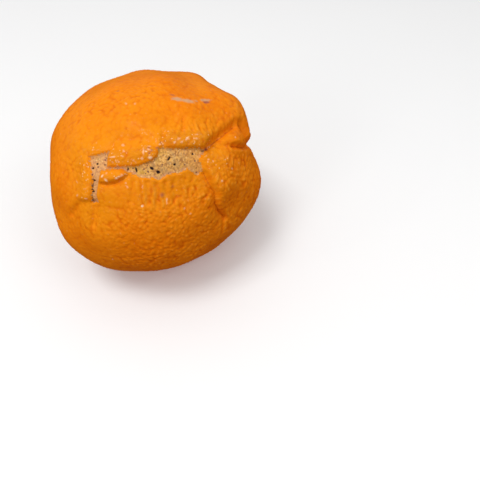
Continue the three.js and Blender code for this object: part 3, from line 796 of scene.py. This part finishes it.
class Nodes:
    """Short ways to wire one node tree."""

    def __init__(self, tree):
        self.tree = tree

    def put(self, socket, value):
        """Link a socket's output to a socket, or set it to a plain value."""
        if isinstance(value, bpy.types.NodeSocket):
            self.tree.links.new(value, socket)
        elif socket.type == "RGBA":
            socket.default_value = (*value, 1.0)
        else:
            socket.default_value = value

    def add(self, kind, inputs=None, **settings):
        """A new node with its settings and inputs."""
        node = self.tree.nodes.new(kind)
        for key, value in settings.items():
            setattr(node, key, value)
        for key, value in (inputs or {}).items():
            self.put(node.inputs[key], value)
        return node

    def math(self, operation, first, second):
        """The result of an operation on two numbers."""
        return self.add("ShaderNodeMath", {0: first, 1: second}, operation=operation).outputs[0]

    def span(self, value, low, high, to_low=0.0, to_high=1.0):
        """A smooth S from to_low at low to to_high at high."""
        inputs = {"Value": value, "From Min": low, "From Max": high, "To Min": to_low, "To Max": to_high}
        return self.add("ShaderNodeMapRange", inputs, interpolation_type="SMOOTHSTEP").outputs[0]

    def mix(self, factor, first, second):
        """The first colour, turning into the second by the factor. A Mix node's colours are its inputs
        6 and 7 and its output 2."""
        return self.add("ShaderNodeMix", {0: factor, 6: first, 7: second}, data_type="RGBA").outputs[2]

    def blend(self, factor, first, second):
        """The first number, turning into the second by the factor. A Mix node's numbers are its inputs
        2 and 3 and its output 0."""
        return self.add("ShaderNodeMix", {0: factor, 2: first, 3: second}, data_type="FLOAT").outputs[0]

    def noise(self, place, scale, detail=3.0):
        """Smooth noise from 0 to 1 at a place."""
        inputs = {"Vector": place, "Scale": scale, "Detail": detail}
        return self.add("ShaderNodeTexNoise", inputs).outputs[0]

    def dots(self, place, scale, share, size, strength=1.0):
        """A mask of dots at the seeds of a share of a cell pattern's cells, their size in cells."""
        cell = self.add("ShaderNodeTexVoronoi", {"Vector": place, "Scale": scale}).outputs
        draw = self.add("ShaderNodeSeparateColor", {"Color": cell["Color"]}).outputs[0]
        chosen = self.math("LESS_THAN", draw, share)
        return self.math("MULTIPLY", chosen, self.span(cell["Distance"], size, size / 2, 0, strength))

    def attribute(self, name):
        """The value that a mesh carries under a name."""
        return self.add("ShaderNodeAttribute", attribute_name=name).outputs["Fac"]

    def bump(self, height):
        """The normal of a height in metres."""
        return self.add("ShaderNodeBump", {"Height": height, "Distance": 1.0}).outputs[0]

    def tint(self, under, mask, tint):
        """A colour with a tint laid over it by a mask."""
        none, full, strength, colour = tint
        return self.mix(self.span(mask, none, full, 0, strength), under, colour)

    def ragged(self, name, noise, share):
        """A value that the mesh carries, with a share of the ragged noise added to roughen its edge."""
        return self.math("ADD", self.attribute(name), self.math("MULTIPLY", noise, share))

    def group(self, tree, inputs):
        """The outputs of a shared group."""
        return self.add("ShaderNodeGroup", inputs, node_tree=tree).outputs


def make_dry_grain():
    """The group that the cork and the dry button share: a mottle mask and a fine height in metres, both
    from noise at a place."""
    tree = bpy.data.node_groups.get("dry_grain")
    if tree:
        return tree
    tree = bpy.data.node_groups.new("dry_grain", "ShaderNodeTree")
    tree.interface.new_socket("Place", in_out="INPUT", socket_type="NodeSocketVector")
    tree.interface.new_socket("Scale", in_out="INPUT", socket_type="NodeSocketFloat")
    tree.interface.new_socket("Mottle", in_out="OUTPUT", socket_type="NodeSocketFloat")
    tree.interface.new_socket("Height", in_out="OUTPUT", socket_type="NodeSocketFloat")
    nodes = Nodes(tree)
    given = nodes.add("NodeGroupInput").outputs
    fine = nodes.noise(given["Place"], nodes.math("MULTIPLY", given["Scale"], FINE_GRAIN_TIMES))
    nodes.add("NodeGroupOutput", {
        "Mottle": nodes.span(nodes.noise(given["Place"], given["Scale"]), *MOTTLE),
        "Height": nodes.math("MULTIPLY", fine, GRAIN_HEIGHT),
    })
    return tree


def new_material(name):
    """An empty material and its nodes."""
    material = bpy.data.materials.new(name)
    material.use_nodes = True
    material.node_tree.nodes.clear()
    return material, Nodes(material.node_tree)


def finish_material(nodes, inputs):
    """The material's one surface shader."""
    shader = nodes.add("ShaderNodeBsdfPrincipled", inputs)
    nodes.add("ShaderNodeOutputMaterial", {"Surface": shader.outputs[0]})


def orange_colour(nodes, place):
    """Warm orange in slow patches, more golden by the scar and duller on its lips, with reddish pores;
    then painted shade, redder down in the grooves and between the pebbles, and painted highlights,
    paler on their tops."""
    patches = nodes.span(nodes.noise(place, PATCH_SCALE, 4.0), *PATCHES)
    orange = nodes.mix(patches, DEEP_ORANGE, BRIGHT_ORANGE)
    for name, tint in PLACE_TINTS:
        orange = nodes.tint(orange, nodes.attribute(name), tint)
    orange = nodes.mix(nodes.dots(place, *PORES), orange, PORE_RED)
    # The relief's tints: painted shade down in the hollows and painted highlights on the tops
    for name, tint in RELIEF_SHADE_AND_HIGHLIGHT_TINTS:
        orange = nodes.tint(orange, nodes.attribute(name), tint)
    return orange


def cork_finish(nodes, place):
    """The cork's colour and height: mottled tan in upright streaks, yellower in patches, pinker at both
    ends and by the lower rims, with painted shade by the upper ones under the lips, with pale and dark
    dots, and the dark pits and a painted shade down the strip's left wall."""
    grain = nodes.group(make_dry_grain(), {"Place": place, "Scale": CORK_GRAIN_SCALE})
    cork = nodes.mix(grain["Mottle"], CORK_BROWN, CORK_TAN)
    cork = nodes.tint(cork, nodes.noise(place, CORK_YELLOW_SCALE), CORK_YELLOW_TINT)
    upright = nodes.add("ShaderNodeMapping", {"Vector": place, "Scale": CORK_STREAK_STRETCH}).outputs[0]
    cork = nodes.tint(cork, nodes.noise(upright, CORK_STREAK_SCALE, 1.0), CORK_STREAK_TINT)
    across = nodes.add("ShaderNodeSeparateXYZ", {"Vector": place}).outputs["X"]
    cork = nodes.tint(cork, across, CORK_LEFT_TINT)
    cork = nodes.tint(cork, across, CORK_RIGHT_TINT)
    broken = nodes.span(nodes.noise(place, CORK_RIM_SCALE), *LOWER_RIM_PATCHES)
    cork = nodes.mix(nodes.math("MULTIPLY", nodes.attribute("lower_rim"), broken), cork, CORK_PINK)
    # Painted shade by the upper rims, under the lips
    shaded = nodes.math("MULTIPLY", nodes.attribute("upper_rim_shade"), UPPER_RIM_SHADE_STRENGTH)
    cork = nodes.mix(shaded, cork, CORK_PAINTED_SHADE)
    cork = nodes.mix(nodes.dots(place, *PALE_DOTS), cork, CORK_CREAM)
    cork = nodes.mix(nodes.dots(place, *DARK_DOTS), cork, CORK_DARK)
    # The pits' dark, and the painted shade down the strip's left wall
    return nodes.tint(cork, nodes.attribute("pits_and_wall_shade"), PIT_AND_WALL_SHADE_TINT), grain["Height"]


def rind_colour(nodes, place, ragged, lips):
    """The orange with its marks laid over it: scratches, stains, peach dots on the lips and flecks, both
    dry flecks and painted glints, the flecks pinkish where faint and cream where strong, and the brown
    rings of the two ends."""
    colour = orange_colour(nodes, place)
    colour = nodes.tint(colour, nodes.ragged("streaks", ragged, SCRATCH_RAGGED), SCRATCH_TINT)
    colour = nodes.tint(colour, nodes.attribute("stains"), STAIN_TINT)
    # Peach dots on the lips: partly dry flecks, partly painted glints
    here = nodes.span(nodes.noise(place, LIP_DOT_PATCH_SCALE), *LIP_DOT_PATCHES)
    share = nodes.math("MULTIPLY", nodes.span(lips, *ON_LIPS), here)
    colour = nodes.mix(nodes.dots(place, LIP_DOT_SCALE, share, LIP_DOT_SIZE), colour, PEACH_FLECK_AND_GLINT)
    # Flecks, partly dry and partly painted glints, cream where strong
    fleck_and_glint = nodes.span(nodes.ragged("flecks_and_glints", ragged, FLECK_AND_GLINT_RAGGED), *FLECK_AND_GLINT_INSIDE)
    strong = nodes.span(nodes.attribute("flecks_and_glints"), *STRONG_FLECK_AND_GLINT)
    colour = nodes.mix(fleck_and_glint, colour, nodes.mix(strong, FLECK_PINK, FLECK_AND_GLINT_CREAM))
    colour = nodes.tint(colour, nodes.ragged("from_stem", ragged, STEM_RAGGED), STEM_TINT)
    return nodes.tint(colour, nodes.ragged("from_blossom", ragged, BLOSSOM_RAGGED), BLOSSOM_TINT)


def rind_shine(nodes, place, scar_mm, lips):
    """Waxy specks where a slow and a fine noise both run high, strongest on the lips beside the scar."""
    patches = nodes.span(nodes.noise(place, SHINE_PATCH_SCALE), *SHINE_PATCHES)
    specks = nodes.span(nodes.noise(place, SHINE_SPECK_SCALE, 1.0), *SHINE_SPECKS)
    shine = nodes.math("MULTIPLY", patches, specks)
    near_scar = nodes.span(scar_mm, *SHINE_NEAR_SCAR)
    by_scar = nodes.math("MULTIPLY", near_scar, nodes.span(lips, *SHINE_ON_LIPS))
    return nodes.math("MULTIPLY", shine, by_scar)


def make_rind():
    """Waxy orange rind and matt cork in one skin, parted by the distance to the scar's ragged edge."""
    material, nodes = new_material("waxy_rind")
    place = nodes.add("ShaderNodeTexCoord").outputs["Object"]
    scar_mm = nodes.attribute("scar")
    lips = nodes.attribute("lips")
    around_zero = nodes.math("SUBTRACT", nodes.noise(place, RAGGED_SCALE), 0.5)
    ragged = nodes.math("MULTIPLY", around_zero, RAGGED_SWING)
    cork = nodes.span(nodes.math("ADD", scar_mm, ragged), *CORK_INSIDE)
    dry_colour, dry_height = cork_finish(nodes, place)

    glands = nodes.add("ShaderNodeTexVoronoi", {"Vector": place, "Scale": GLAND_SCALE})
    gland_rise = nodes.span(lips, *ON_LIPS, -GLAND_DEPTH, -LIP_GLAND_DEPTH)
    dimples = nodes.math("MULTIPLY", glands.outputs["Distance"], gland_rise)
    finish_material(nodes, {
        "Base Color": nodes.mix(cork, rind_colour(nodes, place, ragged, lips), dry_colour),
        "Roughness": nodes.blend(cork, RIND_ROUGHNESS, CORK_ROUGHNESS),
        "Specular IOR Level": RIND_SPECULAR,
        "Coat Weight": rind_shine(nodes, place, scar_mm, lips),
        "Coat Roughness": WAX_ROUGHNESS,
        "Normal": nodes.bump(nodes.blend(cork, dimples, dry_height)),
    })
    return material


def button_rings():
    """Rings of the button about its own axis. The rim of each ring beyond the stalk is drawn in between
    the button's points by a cosine of the turn."""
    profile = np.array(BUTTON_PROFILE)
    steps = np.linspace(0, len(profile) - 1, BUTTON_STEPS * (len(profile) - 1) + 1)
    radius = np.interp(steps, np.arange(len(profile)), profile[:, 0])
    height = np.interp(steps, np.arange(len(profile)), profile[:, 1])
    turn = np.linspace(0, 2 * np.pi, BUTTON_AROUND, endpoint=False)
    beyond_stalk = np.clip((radius[:, None] - POINTS_FROM) / POINTS_FADE, 0, 1)
    reach = radius[:, None] * (1 - POINT_DEPTH * (1 - np.cos(BUTTON_POINTS * turn)) * beyond_stalk)
    level_height = np.broadcast_to(height[:, None], reach.shape)
    return np.stack([reach * np.cos(turn), reach * np.sin(turn), level_height], -1)


def closed_faces(steps, around):
    """Faces of rings laid end to end: quads between them, and a fan at either end to a single point.
    The points are the first ring's middle, the rings in order, and the last ring's middle."""
    index = 1 + np.arange(steps * around).reshape(steps, around)
    turned = np.roll(index, -1, axis=1)
    quads = np.stack([index[:-1], turned[:-1], turned[1:], index[1:]], -1).reshape(-1, 4)
    first = np.stack([np.zeros_like(index[0]), turned[0], index[0]], -1)
    last = np.stack([np.full_like(index[0], steps * around + 1), index[-1], turned[-1]], -1)
    return first.tolist() + quads.tolist() + last.tolist()


def make_button(material):
    """The dry five-pointed button with its stalk, square to the stem pit's floor."""
    rings = button_rings()
    inner = rings[1:-1]
    points = np.concatenate([rings[0, :1], inner.reshape(-1, 3), rings[-1, :1]])
    stem = direction_of(STEM_AT) @ skin_axes
    side = np.cross(stem, (0, 0, 1.0))
    side /= np.linalg.norm(side)
    axes = np.stack([side, np.cross(stem, side), stem])
    placed = points @ axes + stem * (PIT_FLOOR + BUTTON_LIFT) + np.array([0, 0, MIDDLE_HEIGHT])
    values = {"from_axis": np.hypot(points[:, 0], points[:, 1]), "up_stalk": points[:, 2]}
    return new_piece("stem_button_dry", placed, closed_faces(*inner.shape[:2]), material, values)


def make_dry_button():
    """Dry green-brown grain, browner at the points' rim, with a pale broken end to the stalk."""
    material, nodes = new_material("dry_stem_button")
    place = nodes.add("ShaderNodeTexCoord").outputs["Object"]
    grain = nodes.group(make_dry_grain(), {"Place": place, "Scale": BUTTON_GRAIN_SCALE})
    colour = nodes.mix(grain["Mottle"], BUTTON_OLIVE, BUTTON_STRAW)
    colour = nodes.tint(colour, nodes.attribute("from_axis"), BUTTON_EDGE_TINT)
    colour = nodes.tint(colour, nodes.attribute("up_stalk"), STALK_TINT)
    normal = nodes.bump(grain["Height"])
    finish_material(nodes, {"Base Color": colour, "Roughness": BUTTON_ROUGHNESS, "Normal": normal})
    return material


def make_floor():
    """A pale level floor, which throws no light back up at the fruit."""
    material, nodes = new_material("pale_floor")
    finish_material(nodes, {"Base Color": FLOOR_COLOUR, "Roughness": FLOOR_ROUGHNESS})
    mesh = bpy.data.meshes.new("floor")
    corners = [(x * FLOOR_REACH, y * FLOOR_REACH, 0) for x, y in ((-1, -1), (1, -1), (1, 1), (-1, 1))]
    mesh.from_pydata(corners, [], [(0, 1, 2, 3)])
    mesh.materials.append(material)
    floor = bpy.data.objects.new("floor", mesh)
    floor.visible_diffuse = False
    floor.visible_glossy = False
    bpy.context.scene.collection.objects.link(floor)


def add_light(name, way, far, size, watts):
    """A square area light, far millimetres out of the fruit's middle along a way, turned to face it."""
    lamp = bpy.data.lights.new(name, "AREA")
    lamp.size = size * MM
    lamp.energy = watts
    light = bpy.data.objects.new(name, lamp)
    out = Vector(way).normalized()
    light.location = (out * far + Vector((0, 0, MIDDLE_HEIGHT))) * MM
    light.rotation_euler = (-out).to_track_quat("-Z", "Y").to_euler()
    bpy.context.scene.collection.objects.link(light)


def make_world():
    """An even dome of soft light, dim and warm from below, which the eye sees as a plain pale wall."""
    world = bpy.data.worlds.new("studio")
    world.use_nodes = True
    nodes = Nodes(world.node_tree)
    way = nodes.add("ShaderNodeTexCoord").outputs["Generated"]
    rise = nodes.add("ShaderNodeSeparateXYZ", {"Vector": way}).outputs["Z"]
    glow = nodes.mix(nodes.span(rise, *DOME_TURN), DOME_BELOW, DOME_ABOVE)
    seen = nodes.add("ShaderNodeLightPath").outputs["Is Camera Ray"]
    nodes.put(world.node_tree.nodes["Background"].inputs["Color"], nodes.mix(seen, glow, WALL_COLOUR))
    bpy.context.scene.world = world


def set_stage():
    """Pale floor, soft light from above and the camera at the photograph's angle."""
    make_floor()
    make_world()
    for light in LIGHTS:
        add_light(*light)
    bpy.context.scene.view_settings.view_transform = "Standard"

    camera = bpy.data.objects.new("camera", bpy.data.cameras.new("camera"))
    camera.data.lens = LENS
    camera.data.clip_start = NEAREST_SEEN * MM
    camera.location = (facing * EYE_DISTANCE + np.array([0, 0, MIDDLE_HEIGHT])) * MM
    camera.rotation_euler = (np.pi / 2 - CAMERA_TILT, 0, -CAMERA_TURN)
    bpy.context.scene.collection.objects.link(camera)
    bpy.context.scene.camera = camera


set_stage()

fruit = make_fruit(make_rind())
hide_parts("fruit")
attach(fruit, "root")

button = make_button(make_dry_button())
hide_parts("stem_button")
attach(button, "root")
